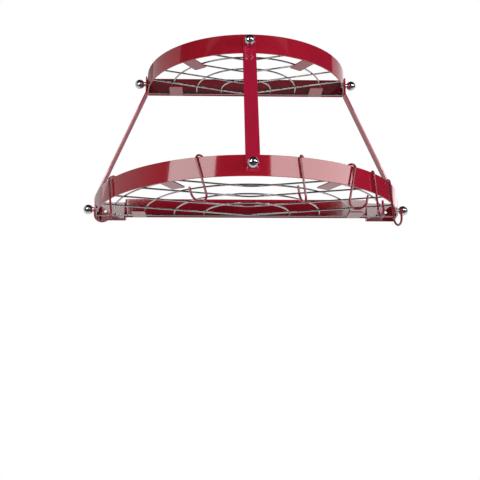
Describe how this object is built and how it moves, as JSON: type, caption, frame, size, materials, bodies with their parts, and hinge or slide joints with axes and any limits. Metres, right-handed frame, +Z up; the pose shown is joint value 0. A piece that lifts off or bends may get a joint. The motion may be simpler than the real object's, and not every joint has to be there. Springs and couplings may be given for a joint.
{
  "type": "pot rack",
  "caption": "Wall pot rack of two half-round red strip shelves with wire grids, joined by straps with chrome ball nuts, with wire hooks on the lower band",
  "frame": {"origin": "on the wall plane, midway between the two lower wall holes, at half the lower strip's height", "axes": "X along the wall to the right seen from the room, Y from the room into the wall, Z up"},
  "size_m": [0.6608, 0.3329, 0.3612],
  "materials": {
    "red_enamel": "gloss",
    "hook_enamel": "gloss",
    "bright_wire": "gloss",
    "ball_chrome": "gloss",
    "bolt_steel": "satin"
  },
  "bodies": {
    "rack": {"upper_band": "red_enamel", "lower_band": "red_enamel", "upper_back_bar": "red_enamel", "lower_back_bar": "red_enamel", "front_strap": "red_enamel", "left_strap": "red_enamel", "right_strap": "red_enamel", "upper_left_front_tab": "red_enamel", "upper_left_back_tab": "red_enamel", "upper_right_front_tab": "red_enamel", "upper_right_back_tab": "red_enamel", "lower_left_front_tab": "red_enamel", "lower_left_back_tab": "red_enamel", "lower_right_front_tab": "red_enamel", "lower_right_back_tab": "red_enamel", "upper_grid": "bright_wire", "lower_grid": "bright_wire", "upper_left_ball_nut": "ball_chrome", "upper_right_ball_nut": "ball_chrome", "upper_front_ball_nut": "ball_chrome", "lower_left_ball_nut": "ball_chrome", "lower_right_ball_nut": "ball_chrome", "lower_front_ball_nut": "ball_chrome", "upper_left_bolt": "bolt_steel", "upper_right_bolt": "bolt_steel", "upper_front_bolt": "bolt_steel", "lower_left_bolt": "bolt_steel", "lower_right_bolt": "bolt_steel", "lower_front_bolt": "bolt_steel"},
    "hook_1": {"hook_1": "hook_enamel"},
    "hook_2": {"hook_2": "hook_enamel"},
    "hook_3": {"hook_3": "hook_enamel"},
    "hook_4": {"hook_4": "hook_enamel"},
    "hook_5": {"hook_5": "hook_enamel"},
    "hook_6": {"hook_6": "hook_enamel"}
  },
  "joints": [
    {"name": "hook_1_slide", "type": "hinge", "parent": "rack", "child": "hook_1", "pos_m": [0, -0.0025, 0], "axis": [0, 0, 1], "range_deg": [-19, 17]},
    {"name": "hook_2_slide", "type": "hinge", "parent": "rack", "child": "hook_2", "pos_m": [0, -0.0025, 0], "axis": [0, 0, 1], "range_deg": [-14, 8]},
    {"name": "hook_3_slide", "type": "hinge", "parent": "rack", "child": "hook_3", "pos_m": [0, -0.0025, 0], "axis": [0, 0, 1], "range_deg": [-7, 6]},
    {"name": "hook_4_slide", "type": "hinge", "parent": "rack", "child": "hook_4", "pos_m": [0, -0.0025, 0], "axis": [0, 0, 1], "range_deg": [-6, 2.5]},
    {"name": "hook_5_slide", "type": "hinge", "parent": "rack", "child": "hook_5", "pos_m": [0, -0.0025, 0], "axis": [0, 0, 1], "range_deg": [-2.5, 4.5]},
    {"name": "hook_6_slide", "type": "hinge", "parent": "rack", "child": "hook_6", "pos_m": [0, -0.0025, 0], "axis": [0, 0, 1], "range_deg": [-4.5, 12]}
  ]
}
